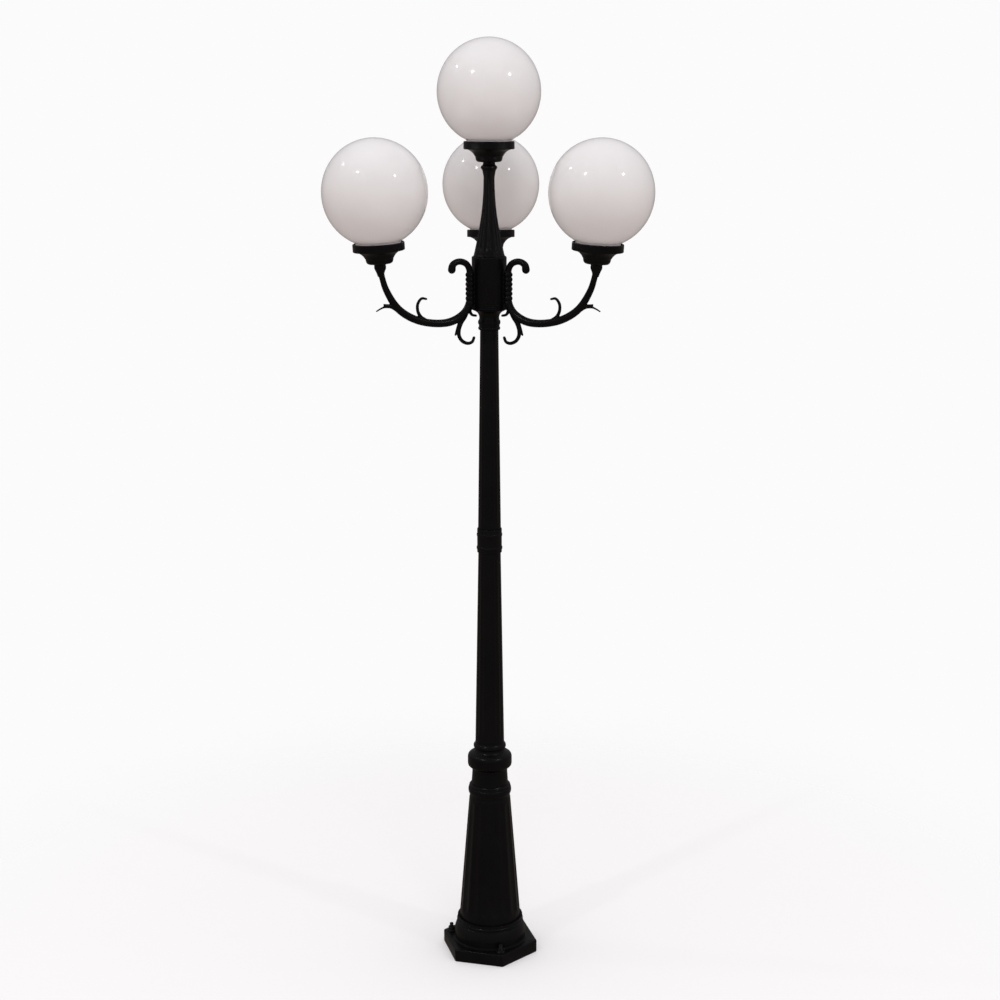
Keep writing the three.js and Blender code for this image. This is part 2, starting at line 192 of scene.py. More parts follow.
def opal_acrylic():
    """Glossy opal acrylic: milky, slightly uneven in thickness, with faint moulding waviness."""
    shader = Shader(
        "opal_acrylic",
        Subsurface_Weight=0.25,
        Subsurface_Scale=0.02,
        Subsurface_Radius=(1.0, 0.8, 0.7),
        Specular_IOR_Level=0.5,
    )
    milk = shader.noise(7, 2)
    shader.colour(milk, (0.3, (0.815, 0.785, 0.775)), (0.7, (0.85, 0.825, 0.815)))
    shader.roughness(shader.noise(15), 0.08, 0.14)
    shader.bump((shader.noise(11, 1), 0.0006))
    return shader.material


def zinc_plate():
    shader = Shader("zinc_plate", Metallic=1.0)
    bloom = shader.noise(180, 5, 0.6)
    shader.colour(bloom, (0.35, (0.30, 0.31, 0.32)), (0.65, (0.48, 0.49, 0.50)))
    shader.roughness(bloom, 0.32, 0.5)
    shader.bump((shader.noise(900, 2), 0.00003))
    return shader.material


def painted_steel():
    """Bolts and nuts, blackened with the post, with zinc showing faintly through."""
    shader = Shader("painted_steel", Specular_IOR_Level=0.3)
    wear = shader.noise(120, 6, 0.65)
    shader.colour(wear, (0.5, (0.004, 0.004, 0.0045)), (0.85, (0.03, 0.028, 0.026)))
    shader.roughness(wear, 0.28, 0.5)
    shader.bump((shader.noise(700, 2), 0.00005))
    return shader.material


def soft_rubber():
    shader = Shader("soft_rubber", Specular_IOR_Level=0.3)
    grain = shader.noise(1400, 2)
    shader.colour(shader.noise(60), (0.3, (0.010, 0.010, 0.010)), (0.7, (0.020, 0.020, 0.020)))
    shader.roughness(grain, 0.7, 0.9)
    shader.bump((grain, 0.00008))
    return shader.material


def glazed_ceramic():
    shader = Shader("glazed_ceramic", Specular_IOR_Level=0.5)
    shader.colour(shader.noise(90, 4), (0.3, (0.80, 0.78, 0.72)), (0.7, (0.86, 0.85, 0.80)))
    shader.roughness(shader.noise(70), 0.12, 0.25)
    shader.bump((shader.noise(120, 2), 0.0001))
    return shader.material


def frosted_glass():
    shader = Shader("frosted_glass", Specular_IOR_Level=0.5)
    frost = shader.noise(1100)
    shader.colour(shader.noise(30), (0.3, (0.84, 0.83, 0.80)), (0.7, (0.90, 0.89, 0.86)))
    shader.roughness(frost, 0.35, 0.5)
    shader.bump((frost, 0.00003))
    return shader.material


def cable_sheath():
    shader = Shader("cable_sheath", Specular_IOR_Level=0.4)
    shader.colour(shader.noise(80, 4), (0.3, (0.012, 0.012, 0.014)), (0.7, (0.022, 0.022, 0.025)))
    shader.roughness(shader.noise(400), 0.5, 0.65)
    shader.bump((shader.noise(800, 2), 0.00006))
    return shader.material


def moulded_plastic():
    shader = Shader("moulded_plastic", Specular_IOR_Level=0.45)
    shader.colour(shader.noise(40), (0.3, (0.55, 0.53, 0.46)), (0.7, (0.62, 0.60, 0.53)))
    shader.roughness(shader.noise(500), 0.42, 0.58)
    shader.bump((shader.noise(1200, 2), 0.00005))
    return shader.material


BLACK = powder_coat()
OPAL = opal_acrylic()
PAINTED_STEEL = painted_steel()
SLOT_MATERIALS = {
    "black_castings": BLACK,
    "opal_globes": OPAL,
    "rubber_seals": soft_rubber(),
    "zinc_steel": zinc_plate(),
    "white_ceramic": glazed_ceramic(),
    "frosted_lamps": frosted_glass(),
    "cable_sheath": cable_sheath(),
    "terminal_plastic": moulded_plastic(),
}

for part in RECORD["subparts"]:
    mesh = frame["nodes"][part["node"]].data
    mesh.materials.clear()
    mesh.materials.append(SLOT_MATERIALS[part["material_slot"]])

# ---- mesh helpers ----

SHARP = math.radians(40)  # an edge that bends more than this stays sharp
WELD = 1e-6  # in metres; points nearer than this are one
NEARLY_STRAIGHT = math.radians(8)  # a corner that bends less than this isn't rounded
CORNER_SHARE = 0.45  # of a line, which the rounding of a corner may use up
LEAST_REACH = 0.02  # a rounding that would be shorter than this is left out
ON_AXIS = 1e-6  # a smaller radius is a point on the axis


def piece(name, mesh, material, slot, body, *nodes, place=None):
    """Adds a finished piece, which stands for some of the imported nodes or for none."""
    if place:
        mesh.transform(place)
    mesh.materials.append(material)
    made = bpy.data.objects.new(name, mesh)
    bpy.context.scene.collection.objects.link(made)
    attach(made, body)
    if nodes:
        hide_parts(*nodes)


def finished(bm, name):
    """A smooth-shaded mesh with outward faces and its sharp edges kept."""
    bmesh.ops.remove_doubles(bm, verts=bm.verts, dist=WELD)
    bmesh.ops.recalc_face_normals(bm, faces=bm.faces)
    mesh = bpy.data.meshes.new(name)
    bm.to_mesh(mesh)
    bm.free()
    mesh.shade_smooth()
    mesh.set_sharp_from_angle(angle=SHARP)
    return mesh


def is_closed(outline):
    """Whether an outline goes round to its start: one that begins on the axis ends there."""
    return outline[0][0] > ON_AXIS


def softened(outline, radius=0.8, steps=3):
    """The outline with its corners rounded off, as far as its lines allow."""
    points = [Vector(point) for point in outline]
    count = len(points)
    result = []
    for i, corner in enumerate(points):
        if not is_closed(outline) and i in (0, count - 1):
            result.append(corner)
            continue
        before, after = points[i - 1], points[(i + 1) % count]
        into, out = before - corner, after - corner
        shorter = min(into.length, out.length)
        if shorter < ON_AXIS:
            continue
        bend = math.pi - into.angle(out)
        reach = min(radius * math.tan(bend / 2), shorter * CORNER_SHARE)
        if bend < NEARLY_STRAIGHT or reach < LEAST_REACH:
            result.append(corner)
            continue
        start, end = corner + into.normalized() * reach, corner + out.normalized() * reach
        for step in range(steps + 1):
            t = step / steps
            result.append(start * (1 - t) ** 2 + corner * (2 * t * (1 - t)) + end * t * t)
    return [(point.x, point.y) for point in result]


def arc(start, end, bulge, steps=6):
    """Points on a rounded line from start to end, standing out to the right of it by bulge."""
    start, end = Vector(start), Vector(end)
    chord = end - start
    side = Vector((chord.y, -chord.x)).normalized() * bulge
    return [
        tuple(start + chord * (0.5 - 0.5 * math.cos(math.pi * i / steps))
              + side * math.sin(math.pi * i / steps))
        for i in range(steps + 1)
    ]


def climbing(outline, i):
    """Whether the outline runs upwards at a point, as it does outside and not in a bore."""
    return outline[(i + 1) % len(outline)][1] > outline[i - 1][1]


def turned_row(bm, radius, height, angles, inset=None):
    if radius < ON_AXIS:
        return [bm.verts.new((0, 0, height * MM))]
    row = []
    for angle in angles:
        r = radius - (inset(angle, radius, height) if inset else 0)
        row.append(bm.verts.new((r * math.cos(angle) * MM, r * math.sin(angle) * MM, height * MM)))
    return row


def add_turned(bm, outline, angles, inset=None, place=None):
    """An outline turned about Z. inset(angle, radius, height) sinks its outer face."""
    rows = [
        turned_row(bm, radius, height, angles, inset if climbing(outline, i) else None)
        for i, (radius, height) in enumerate(outline)
    ]
    if place:
        for row in rows:
            for vertex in row:
                vertex.co = place @ vertex.co
    if is_closed(outline):
        rows.append(rows[0])
    skin(bm, rows)


def revolved(outline, angles, inset=None):
    bm = bmesh.new()
    add_turned(bm, outline, angles, inset)
    return bm


def skin(bm, rows):
    """Faces between neighbouring rows of points; a row of one point is a pole."""
    for lower, upper in zip(rows, rows[1:]):
        count = max(len(lower), len(upper))
        for i in range(count):
            j = (i + 1) % count
            corners = dict.fromkeys((
                lower[i % len(lower)], lower[j % len(lower)],
                upper[j % len(upper)], upper[i % len(upper)],
            ))
            if len(corners) > 2:
                bm.faces.new(list(corners))


def even(count):
    return [math.tau * i / count for i in range(count)]


def divided(outline, longest=6):
    """The outline with its long lines cut into shorter ones, for flutes to fade along."""
    result = []
    closed = is_closed(outline)
    following = outline[1:] + (outline[:1] if closed else [])
    for (r0, z0), (r1, z1) in zip(outline, following):
        count = max(1, math.ceil(math.hypot(r1 - r0, z1 - z0) / longest))
        result += [(r0 + (r1 - r0) * i / count, z0 + (z1 - z0) * i / count) for i in range(count)]
    if not closed:
        result.append(outline[-1])
    return result


FLUTES = 16
FLUTE_SHARE = 0.86  # of the surface, hollowed; the rest is the lands between


def flutes(bottom, top, depth):
    """Hollow flutes with round ends, between two heights; depth is a share of the radius."""
    def inset(angle, radius, height):
        if not bottom < height < top:
            return 0.0
        across = (angle * FLUTES / math.tau) % 1 * 2 - 1
        half_width = math.pi * radius / FLUTES * FLUTE_SHARE
        nearest = min(height - bottom, top - height)
        room = 1 - min(1.0, nearest / half_width)
        half = math.sqrt(max(0.0, 1 - room * room)) * FLUTE_SHARE
        if abs(across) >= half:
            return 0.0
        return depth * radius * (1 - (across / half) ** 2) * half
    return inset


# ---- the post ----

FLUTED = even(FLUTES * 12)
ROUND = even(96)
SIXTH = math.radians(60)


def in_foot(angle, apothem, corner_radius):
    """Distance from the axis to a six-sided outline with rounded corners."""
    local = (angle - FOOT_TURN) % SIXTH - SIXTH / 2
    inner = apothem - corner_radius
    if abs(local) <= math.atan2(inner * math.tan(SIXTH / 2), apothem):
        return apothem / math.cos(local)
    centre = inner / math.cos(SIXTH / 2)
    off = SIXTH / 2 - abs(local)
    beside = centre * math.sin(off)
    return centre * math.cos(off) + math.sqrt(max(0.0, corner_radius ** 2 - beside ** 2))


def foot_angles():
    """Those of the flutes, with more of them round the foot's corners."""
    angles = list(FLUTED)
    for corner in range(6):
        middle = FOOT_TURN + corner * SIXTH
        angles += [(middle + math.radians(0.25 * step)) % math.tau for step in range(-7, 8)]
    return sorted(set(round(angle, 6) for angle in angles))


FOOT_TOP = 39
FOOT_FLAT = 153 * math.cos(SIXTH / 2)  # from the axis to a side; the corners are 153 out
FOOT_WALL = 10
FOOT_CORNER = 6  # radius of the foot's corners
GROUND = 0.3  # a hair above the floor


def hexagon_row(bm, apothem, corner, height, angles):
    return [
        bm.verts.new(
            Matrix.Rotation(a, 3, "Z") @ Vector((in_foot(a, apothem, corner), 0, height)) * MM
        )
        for a in angles
    ]


def base_casting():
    """The foot is six-sided up to its top face, and the skirt and cone above it are round."""
    inside = FOOT_FLAT - FOOT_WALL
    foot = [
        (inside, 0.4), (inside + 0.8, 0), (FOOT_FLAT - 2, 0), (FOOT_FLAT - 0.6, 0.5),
        (FOOT_FLAT, 2), (FOOT_FLAT, FOOT_TOP - 3), (FOOT_FLAT - 0.5, FOOT_TOP - 1.6),
        (FOOT_FLAT - 1.4, FOOT_TOP - 0.6), (FOOT_FLAT - 3, FOOT_TOP),
    ]
    skirt = [
        (116, FOOT_TOP), (112.4, FOOT_TOP + 1.6), (111.4, FOOT_TOP + 6), (111.3, 56),
        *arc((111.2, 58), (102, 91.4), 3, 8), (100.8, 94.4), *arc((101.4, 95.2), (101.4, 103), 3),
        (100.9, 104.2), (101.2, 106.4), (102.1, 112), (101.2, 112.4), (99.4, 108.6),
        (97.4, 107.6), (95.6, 109.4), (94.9, 116),
    ]
    cone = [
        (94.3, 130), (63.9, 507), (63, 509), (62.6, 512), (62.8, 519), (63.6, 521.4),
        *arc((64, 522.4), (64.4, 541.6), 2.6), (64, 545), (63.6, 548.4), (60.6, 549.6), (58.5, 553),
    ]
    bore = [(48.6, 553), (48.6, 520), (54, 500), (84.5, 130), (93, 96), (101, 41), (101, 29)]
    body = divided(softened(skirt + cone + bore, 0.7))
    angles = foot_angles()
    sink = flutes(bottom=138, top=497, depth=0.034)
    bm = bmesh.new()
    rows = []
    for apothem, z in foot:
        corner = FOOT_CORNER - (FOOT_FLAT - apothem) * 0.4
        rows.append(hexagon_row(bm, apothem, corner, z, angles))
    for i, (radius, z) in enumerate(body):
        rows.append(turned_row(bm, radius, z, angles, sink if climbing(body, i) else None))
    rows.append(hexagon_row(bm, inside, FOOT_CORNER / 2, FOOT_TOP - FOOT_WALL, angles))
    rows.append(rows[0])
    skin(bm, rows)
    name = "base_casting_surface"
    piece(name, finished(bm, name), BLACK, "black_castings", POST, "base_casting")


WEB_TOP = 12
WEB_HALF = 6
CENTRE_BOSS = 24
BOLT_BOSS = 15


def over(point):
    """Puts a shape drawn on the Z axis over a point of the ground."""
    return Matrix.Translation((point.x * MM, point.y * MM, 0))


def boss(bore, radius, top):
    return softened([(bore, GROUND), (radius, GROUND), (radius, top), (bore, top)], 1.2)


def base_webs():
    """Bosses for the anchor bolts, joined by webs to a centre boss, inside the foot."""
    bm = bmesh.new()
    add_turned(bm, boss(3.3, CENTRE_BOSS, WEB_TOP), even(48))
    section = softened([
        (-WEB_HALF, GROUND), (WEB_HALF, GROUND), (WEB_HALF - 1, WEB_TOP), (1 - WEB_HALF, WEB_TOP),
    ], 1.2)
    for centre in BOLT_CENTRES.values():
        add_turned(bm, boss(7, BOLT_BOSS, FOOT_TOP - 2), even(40), place=over(centre))
        turn = Matrix.Rotation(math.atan2(centre.y, centre.x), 3, "Z")
        skin(bm, [
            [bm.verts.new(turn @ Vector((x, y, z)) * MM) for y, z in section]
            for x in (CENTRE_BOSS - 2, centre.xy.length - BOLT_BOSS + 2)
        ])
    name = "base_casting_webs"
    piece(name, finished(bm, name), BLACK, "black_castings", POST, "base_casting")


def turned_piece(name, node, outline, inset=None, radius=0.8):
    outline = softened(outline, radius)
    bm = revolved(divided(outline) if inset else outline, FLUTED if inset else ROUND, inset)
    piece(name, finished(bm, name), BLACK, "black_castings", POST, node)


def neck_collar():
    """A neck, a bulb, and a waist with a bead."""
    neck = [(57.6, 553.4), (56.6, 558), (55.4, 575), (54.4, 590), (54.2, 600)]
    bulb = [
        (55.4, 603.6), (57.6, 605.4), (60.4, 607.4), (64.6, 610.6), (67.2, 614), (68.2, 618.5),
        (68.3, 630), (68.2, 641), (67, 646), (64.6, 649.6), (60.6, 652.8), (55, 655.6), (50, 658.4),
    ]
    waist = [
        (47.6, 661.5), (46.8, 665), (47, 668.6), *arc((47.4, 669.6), (47.2, 682.4), 2.9),
        (45.4, 685), (44.7, 690),
    ]
    turned_piece("neck_collar_surface", "neck_collar", [
        (47.5, 524), (47.5, 553.4), *neck, *bulb, *waist, (41, 690), (41, 524),
    ])


def lower_shaft():
    turned_piece("lower_shaft_surface", "lower_shaft", [
        (40.4, 651), (40.4, 690.4), (44.5, 690.4), (44.3, 697), (34.1, 1286), (34.2, 1292.9),
        (28, 1292.9), (28, 1262), (35, 700), (35, 651),
    ], flutes(bottom=712, top=1272, depth=0.036))


def shaft_coupling():
    """A plain sleeve between two beads."""
    turned_piece("shaft_coupling_surface", "shaft_coupling", [
        (27.4, 1271), (27.4, 1293.4), (36.8, 1293.4), (37.4, 1294.4), (37.4, 1301),
        *arc((37.5, 1302), (37.5, 1312), 1.7), (37.3, 1313), (37.3, 1342),
        *arc((37.4, 1343), (37.4, 1352), 1.5), (37.3, 1353), (37.3, 1365.4), (36.6, 1366.9),
        (26.6, 1366.9), (26.6, 1310), (23, 1305), (23, 1271),
    ], radius=0.5)


def upper_shaft():
    turned_piece("upper_shaft_surface", "upper_shaft", [
        (25.9, 1323), (25.9, 1367.4), (34.5, 1367.4), (34.4, 1374), (27.5, 1929), (27.2, 1967.9),
        (21, 1967.9), (21, 1323),
    ], flutes(bottom=1388, top=1950, depth=0.036))


def head_collar():
    """Two beads, and a cup that widens to the hub."""
    beads = [
        *arc((29.6, 1968.8), (30.2, 1977.6), 2.7, 8), (30.6, 1980), (31, 1983),
        *arc((30.8, 1984.6), (30.4, 1998), 2.6, 8), (29.6, 2001.5),
    ]
    cup = [
        (29.3, 2006), (30.2, 2010.6), (32.2, 2015.4), (35.6, 2019.8), (40, 2023.2), (45, 2025.8),
        (48.6, 2027.2), (50, 2029.8),
    ]
    turned_piece("head_collar_surface", "head_collar", [
        (20.4, 1946), (20.4, 1968.4), (28.4, 1968.4), *beads, *cup, (16, 2029.8), (16, 1946),
    ], radius=0.6)


def hub():
    """A drum with three fine ridges round its lower end."""
    foot, pitch = 2030.4, 5
    ridges = []
    for k in range(3):
        start = foot + 1.6 + pitch * k
        ridges += [(50.2, start - 0.9), *arc((50.4, start), (50.4, start + 3.2), 1.1, 5)]
    turned_piece("hub_surface", "hub", [
        (15.4, 1997), (15.4, foot), (49.8, foot), *ridges, (50.2, foot + 16.6), (51.3, foot + 18),
        (51.4, 2180), (51, 2182.4), (49.5, 2183.9), (45, 2183.9), (45, 2038), (12, 2038),
        (12, 1997),
    ], radius=0.5)


def top_stem():
    """A trumpet with hollow flutes and a small capital."""
    trumpet = [
        (46.8, 2184.4), (46.4, 2186), (44.9, 2189), (43.2, 2196), (40.8, 2207), (36.6, 2226),
        (31.8, 2250), (28, 2272), (25.4, 2288), (23, 2303), (20.6, 2323), (18.7, 2343),
        (17.2, 2365), (16.4, 2385), (16, 2408), (16.2, 2414),
    ]
    capital = [
        (17.6, 2421), (18.8, 2428), (19.4, 2431), (21.4, 2434.4), (23.4, 2437.6), (24.2, 2440.4),
        (23.4, 2442.8), (20.8, 2445.4), (18.6, 2447.6), (17.8, 2450.4), (17.4, 2454.6),
    ]
    bore = [(5.6, 2454.6), (5.6, 2428), (11, 2410), (13, 2340), (22, 2272), (40, 2189), (40, 2173)]
    turned_piece("top_stem_surface", "top_stem", [
        (44.2, 2173), (44.2, 2184.4), *trumpet, *capital, *bore,
    ], flutes(bottom=2204, top=2408, depth=0.075))


# ---- anchor bolts and nuts ----

THREAD_BOTTOM = 36
THREAD_PITCH = 1.75
THREAD_ROOT = 5.15
THREAD_CREST = 5.95
BOLT_TIP = 1.2
NUT_FLAT = 9.4  # from the axis to a flat of the nut
NUT_CORNER = 10.75  # from the axis to a corner of it, turned off


def anchor_bolt(i):
    """A threaded end with a chamfered tip."""
    bottom, top = low(f"anchor_bolt_{i}").z, high(f"anchor_bolt_{i}").z
    outline = [(0, bottom), (5.6, bottom), (5.9, bottom + 0.5), (5.9, THREAD_BOTTOM)]
    z = THREAD_BOTTOM
    while z + THREAD_PITCH < top - BOLT_TIP:
        outline += [(THREAD_ROOT, z + THREAD_PITCH / 2), (THREAD_CREST, z + THREAD_PITCH)]
        z += THREAD_PITCH
    outline += [(4.9, top), (0, top)]
    bm = revolved(outline, even(28))
    name = f"anchor_bolt_{i}_thread"
    piece(name, finished(bm, name), PAINTED_STEEL, "zinc_steel", POST, f"anchor_bolt_{i}",
          place=over(BOLT_CENTRES[i]))


def nut_flats(angle, radius, height):
    """How far a turned outline stands out past the flats of the nut."""
    flat = NUT_FLAT / math.cos(angle % SIXTH - SIXTH / 2)
    return max(0.0, radius - flat)


def anchor_nut(i):
    """A hexagon with a turned top face, on a round flange."""
    bottom, top = low(f"anchor_nut_{i}").z, high(f"anchor_nut_{i}").z
    flange = [
        (6.5, bottom), (12.4, bottom), (12.6, bottom + 0.3), (12.6, bottom + 1.6),
        (11.4, bottom + 2.8),
    ]
    hexagon = [
        (NUT_CORNER, bottom + 3.2), (NUT_CORNER, top - 1.0), (9.9, top - 0.25), (9.0, top),
        (6.9, top), (6.5, top - 0.5),
    ]
    bm = bmesh.new()
    angles = even(72)
    rows = [turned_row(bm, radius, z, angles) for radius, z in flange]
    rows += [turned_row(bm, radius, z, angles, nut_flats) for radius, z in hexagon]
    rows.append(rows[0])
    skin(bm, rows)
    turn = Matrix.Rotation(0.35 * i, 4, "Z")  # each nut stopped where it was tight
    name = f"anchor_nut_{i}_hexagon"
    piece(name, finished(bm, name), PAINTED_STEEL, "zinc_steel", POST, f"anchor_nut_{i}",
          place=over(BOLT_CENTRES[i]) @ turn)


# ---- arms ----

STEM_OUT = 64.5  # from the post's axis to the middle of an arm's upright stem
RING_COUNT = 7
RING_PITCH = 13.75
VOXEL = 0.0012  # in metres
CURVE_STEPS = 24
LAMP_OUT = (LAMP_SOCKETS[1].xy.length - SOCKET_RISE * LAMP_AXES[1].xy.length) / MM
LAMP_HEIGHT = (LAMP_SOCKETS[1].z - SOCKET_RISE * LAMP_AXES[1].z) / MM
LEAN = math.asin(LAMP_AXES[1].xy.length)


def on_lamp_axis(height):
    return LAMP_OUT + height * math.sin(LEAN), LAMP_HEIGHT + height * math.cos(LEAN)


def spline(stations, count):
    """Points evenly along a centripetal Catmull-Rom curve through the stations."""
    points = [Vector(s) for s in stations]
    points = [points[0] * 2 - points[1], *points, points[-1] * 2 - points[-2]]
    dense = []
    for p0, p1, p2, p3 in zip(points, points[1:], points[2:], points[3:]):
        t1 = math.sqrt((p1 - p0).length)
        t2 = t1 + math.sqrt((p2 - p1).length)
        t3 = t2 + math.sqrt((p3 - p2).length)
        for step in range(CURVE_STEPS):
            t = t1 + (t2 - t1) * step / CURVE_STEPS
            a1 = p0 * ((t1 - t) / t1) + p1 * (t / t1)
            a2 = p1 * ((t2 - t) / (t2 - t1)) + p2 * ((t - t1) / (t2 - t1))
            a3 = p2 * ((t3 - t) / (t3 - t2)) + p3 * ((t - t2) / (t3 - t2))
            b1 = a1 * ((t2 - t) / t2) + a2 * (t / t2)
            b2 = a2 * ((t3 - t) / (t3 - t1)) + a3 * ((t - t1) / (t3 - t1))
            dense.append(b1 * ((t2 - t) / (t2 - t1)) + b2 * ((t - t1) / (t2 - t1)))
    dense.append(points[-2])
    lengths = [0.0]
    for before, after in zip(dense, dense[1:]):
        lengths.append(lengths[-1] + (after - before).length)
    result, k = [], 0
    for i in range(count + 1):
        goal = lengths[-1] * i / count
        while k < len(dense) - 2 and lengths[k + 1] < goal:
            k += 1
        part = (goal - lengths[k]) / max(1e-9, lengths[k + 1] - lengths[k])
        result.append(dense[k].lerp(dense[k + 1], min(1.0, part)))
    return result


def add_bar(bm, stations, count, sides=20):
    """A round bar with round ends in the XZ plane, through [x, z, radius] stations."""
    points = spline(stations, count)
    rows = []
    for i, here in enumerate(points):
        before, after = points[max(0, i - 1)], points[min(count, i + 1)]
        heading = (after - before).xy.normalized()
        ends = []
        if i == 0:
            ends = [(-math.sin(a) * here.z, math.cos(a)) for a in (1.45, 1.0, 0.5)]
        if i == count:
            ends = [(math.sin(a) * here.z, math.cos(a)) for a in (0.5, 1.0, 1.45)]
        stops = ends + [(0.0, 1.0)] if i == 0 else [(0.0, 1.0)] + ends
        for ahead, share in stops:
            centre = here.xy + heading * ahead
            rows.append([
                bm.verts.new(Vector((
                    centre.x - heading.y * math.cos(a) * here.z * share,
                    math.sin(a) * here.z * share,
                    centre.y + heading.x * math.cos(a) * here.z * share,
                )) * MM)
                for a in even(sides)
            ])
    skin(bm, rows)
    bm.faces.new(rows[0])
    bm.faces.new(rows[-1])


def add_main_bar(bm):
    """The upper scroll, the stem against the hub, and the sweep out to the lamp."""
    scroll = [
        (124, 2150, 11.7), (121, 2163, 10.4), (108, 2171.5, 9.5), (92, 2172, 9.5), (75, 2164, 9.5),
        (66, 2148, 9.5),
    ]
    stem = [(STEM_OUT, 2125, 9.5), (STEM_OUT, 2064, 9.5)]
    sweep = [
        (79, 2027, 11.5), (118, 2002.5, 12), (166, 1996.7, 11.4), (240, 2011, 11.2),
        (298, 2046, 11), (334.8, 2100, 9.5), (347, 2134, 8.8),
    ]
    add_bar(bm, [*scroll, *stem, *sweep, (*on_lamp_axis(-14), 9)], 150)


def add_stem_rings(bm):
    rings = [(0, 2040), (9.8, 2040)]
    for i in range(RING_COUNT):
        middle = 2050.5 + RING_PITCH * i
        rings += arc((10.2, middle - 5.4), (10.2, middle + 5.4), 3, 8)
    rings += [(9.8, 2143), (0, 2143)]
    add_turned(bm, rings, even(48), place=Matrix.Translation((STEM_OUT * MM, 0, 0)))


def add_branches(bm):
    """The hooks, curls and leaf that spring from the sweep."""
    lower_hook = [
        (72, 2034, 8), (82, 2011, 6.6), (94, 1994, 6.2), (101.5, 1974, 6), (101, 1956, 5.8),
        (90, 1940, 5.4), (71, 1932.5, 5), (57, 1936.5, 4.6), (51.5, 1948, 4.4),
    ]
    curl = [(67, 2036, 6.5), (64, 2024, 5.2), (57, 2015.5, 4.2), (44.5, 2012.5, 3.6)]
    thorn = [(100, 1994, 5), (106, 1977, 4.8), (113, 1960, 3)]
    inner_hook = [
        (212, 2008, 7), (226, 2019, 5.6), (235.5, 2036, 4.8), (235.5, 2057, 4.5), (223, 2072, 4),
        (208, 2070, 3.4),
    ]
    leaf = [(300, 2044, 8), (315, 2052, 6.6), (329, 2056, 5.6), (340, 2057.6, 4.8)]
    leaf_tip = [(326, 2054, 4.6), (344, 2053, 3), (356, 2048.6, 2.5), (367, 2043, 2.1)]
    leaf_spur = [(334, 2059, 3), (344, 2061.5, 1.7)]
    for stations, count in (
        (lower_hook, 50), (curl, 20), (thorn, 14), (inner_hook, 34), (leaf, 20), (leaf_tip, 20),
        (leaf_spur, 4),
    ):
        add_bar(bm, stations, count)


def add_lamp_foot(bm):
    """The flared end that the fitter stands on."""
    centre = Matrix.Translation((LAMP_OUT * MM, 0, LAMP_HEIGHT * MM))
    add_turned(bm, softened([
        (0, -38), (8.8, -36), (10, -30), (13, -21.5), (16.6, -13.5), (17, -11), (17, -6.2),
        (16.4, -5.2), (16.4, -3.6), (17, -2.8), (17, -0.6), (0, -0.6),
    ], 0.6), even(48), place=centre @ Matrix.Rotation(LEAN, 4, "Y"))


def add_root(bm):
    """The pad that is bolted to the hub."""
    section = softened([(49.4, -9.6), (62, -9), (62, 9), (49.4, 9.6)], 1.5)
    rows = [[bm.verts.new(Vector((x, y, z)) * MM) for x, y in section] for z in (2031, 2146)]
    skin(bm, rows)
    bm.faces.new(rows[0])
    bm.faces.new(rows[-1])


def fused(bm):
    """The overlapping solids as one skin, by a voxel remesh, lightly smoothed."""
    bmesh.ops.recalc_face_normals(bm, faces=bm.faces)
    mesh = bpy.data.meshes.new("arm_parts")
    bm.to_mesh(mesh)
    bm.free()
    helper = bpy.data.objects.new("arm_parts", mesh)
    bpy.context.scene.collection.objects.link(helper)
    remesh = helper.modifiers.new("fuse", "REMESH")
    remesh.mode = "VOXEL"
    remesh.voxel_size = VOXEL
    smooth = helper.modifiers.new("smooth", "SMOOTH")
    smooth.factor = 0.5
    smooth.iterations = 4
    graph = bpy.context.evaluated_depsgraph_get()
    result = bpy.data.meshes.new_from_object(helper.evaluated_get(graph))
    bpy.data.objects.remove(helper)
    bpy.data.meshes.remove(mesh)
    result.shade_smooth()
    result.materials.clear()
    return result


def arm_mesh():
    """One arm along +X, in one casting."""
    bm = bmesh.new()
    add_main_bar(bm)
    add_stem_rings(bm)
    add_branches(bm)
    add_lamp_foot(bm)
    add_root(bm)
    return fused(bm)


def arms():
    shape = arm_mesh()
    for i in (1, 2, 3):
        piece(f"arm_{i}_casting", shape.copy(), BLACK, "black_castings", POST, f"arm_{i}",
              place=arm_frame(i))
    bpy.data.meshes.remove(shape)


# ---- lamps ----

RIM = 74
RIM_BORE = 70
GLOBE_RADIUS = 150
GLOBE_HALF_HEIGHT = 152.5
GLOBE_CENTRE = 200
GLOBE_WALL = 3
GLOBE_BANDS = 56
NECK = 65
NECK_BORE = NECK - GLOBE_WALL - 1
SCREW_HEIGHT = 48


def fitter(i):
    """A cup with a hollow throat and an upright rim."""
    throat = [
        (28, 0.2), (32.4, 0.9), (35.6, 2.8), (37.6, 5.4), (38.8, 9), (39.8, 13.2), (39.4, 14.4),
        (40.2, 15.8), (41.4, 17), (43, 20), (45.4, 23.6), (48.4, 27), (52, 30.2), (56.4, 33),
        (61, 35), (63.4, 36.4),
    ]
    rim = [
        (72.6, 37), (RIM, 38.4), (RIM, 57), (RIM - 0.4, 58.4), (RIM - 1.4, 59.5),
        (RIM_BORE + 1, 59.9), (RIM_BORE, 59), (RIM_BORE, 39.5),
    ]
    inside = [(58, 39.5), (52, 35), (43, 25), (32, 6), (5.6, 6), (5.6, 0.2)]
    bm = revolved(softened(throat + rim + inside, 0.6), ROUND)
    name = f"fitter_{i}_cup"
    piece(name, finished(bm, name), BLACK, "black_castings", POST, f"fitter_{i}",
          place=lamp_frame(i))


